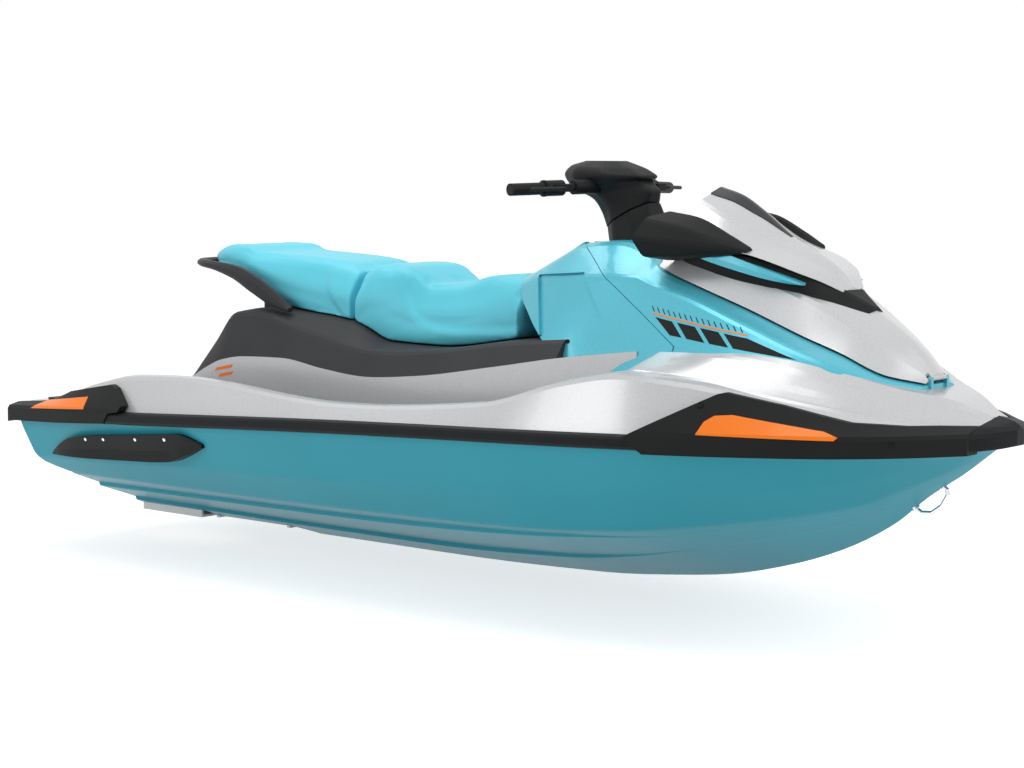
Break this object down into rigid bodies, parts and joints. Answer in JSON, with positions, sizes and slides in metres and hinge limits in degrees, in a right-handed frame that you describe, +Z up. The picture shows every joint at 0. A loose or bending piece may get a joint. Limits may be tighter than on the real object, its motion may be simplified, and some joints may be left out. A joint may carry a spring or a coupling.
{
  "type": "personal watercraft",
  "caption": "Three-seat personal watercraft with jet drive, hinged bow hood, glovebox lid, steered handlebar and nozzle, reverse bucket and turning impeller.",
  "frame": {"origin": "on the waterline of the empty craft, on its centre plane, 1.50 m forward of the stern", "axes": "+X to the bow, +Y to port, +Z up"},
  "size_m": [3.35, 1.2206, 1.19],
  "materials": {
    "hull_gelcoat": "gloss",
    "deck_gelcoat": "metallic gloss",
    "teal_panel": "metallic gloss",
    "silver_panel": "metallic gloss",
    "orange_panel": "gloss",
    "dark_screen": "gloss",
    "mirror_glass": "mirrored",
    "black_plastic": "fine texture",
    "rail_rubber": "satin",
    "seat_vinyl": "satin vinyl",
    "deck_mat": "ribbed",
    "cast_alloy": "cast",
    "bright_steel": "polished",
    "engine_block": "painted",
    "bar_tube": "satin",
    "grip_rubber": "ribbed"
  },
  "bodies": {
    "craft": {"hull": "hull_gelcoat", "deck": "deck_gelcoat", "seat_pedestal": "deck_gelcoat", "seat_base_trim": "black_plastic", "console": "teal_panel", "front_fairing": "teal_panel", "column_cover": "black_plastic", "guard_inserts": "orange_panel", "grab_handle": "black_plastic", "passenger_seat": "seat_vinyl", "rider_seat": "seat_vinyl", "glovebox_bin": "black_plastic", "rub_rail": "rail_rubber", "bow_bumper": "rail_rubber", "rear_guards": "black_plastic", "front_guards": "black_plastic", "sponsons": "black_plastic", "ride_plate": "cast_alloy", "intake_grate": "cast_alloy", "bow_storage_bin": "black_plastic", "footwell_mats": "deck_mat", "swim_mat": "deck_mat", "bow_eye": "bright_steel", "engine": "engine_block", "pump_housing": "cast_alloy"},
    "hood": {"hood": "deck_gelcoat", "cowl": "black_plastic", "cowl_blades": "teal_panel", "visor": "silver_panel", "visor_screen": "dark_screen", "mirror_housings": "black_plastic", "mirror_glass": "mirror_glass", "gauge_display": "black_plastic"},
    "glovebox_lid": {"glovebox_lid": "teal_panel"},
    "handlebar": {"steering_neck": "black_plastic", "steering_pad": "black_plastic", "handlebar": "bar_tube", "grips": "grip_rubber", "switch_housings": "black_plastic", "hand_levers": "bar_tube"},
    "steering_nozzle": {"steering_nozzle": "cast_alloy"},
    "reverse_bucket": {"reverse_bucket": "cast_alloy"},
    "impeller": {"impeller": "bright_steel"}
  },
  "joints": [
    {"name": "steering", "type": "hinge", "parent": "craft", "child": "handlebar", "pos_m": [0.65, 0, 0.701], "axis": [-0.454, 0, 0.891], "range_deg": [-22, 22]},
    {"name": "nozzle_steering", "type": "hinge", "parent": "craft", "child": "steering_nozzle", "pos_m": [-1.365, 0, -0.134], "axis": [0, 0, 1], "range_deg": [-20, 20]},
    {"name": "reverse", "type": "hinge", "parent": "steering_nozzle", "child": "reverse_bucket", "pos_m": [-1.4, 0, -0.134], "axis": [0, -1, 0], "range_deg": [0, 72]},
    {"name": "impeller_spin", "type": "hinge", "parent": "craft", "child": "impeller", "pos_m": [-1.06, 0, -0.134], "axis": [1, 0, 0], "continuous": true},
    {"name": "hood_hinge", "type": "hinge", "parent": "craft", "child": "hood", "pos_m": [1.618, 0, 0.356], "axis": [0, 1, 0], "range_deg": [0, 60]},
    {"name": "glovebox_hinge", "type": "hinge", "parent": "craft", "child": "glovebox_lid", "pos_m": [0.55481, 0, 0.67114], "axis": [0, 1, 0], "range_deg": [0, 55]}
  ],
  "couplings": [
    {"joint": "nozzle_steering", "follows": "steering", "ratio": -0.9}
  ]
}
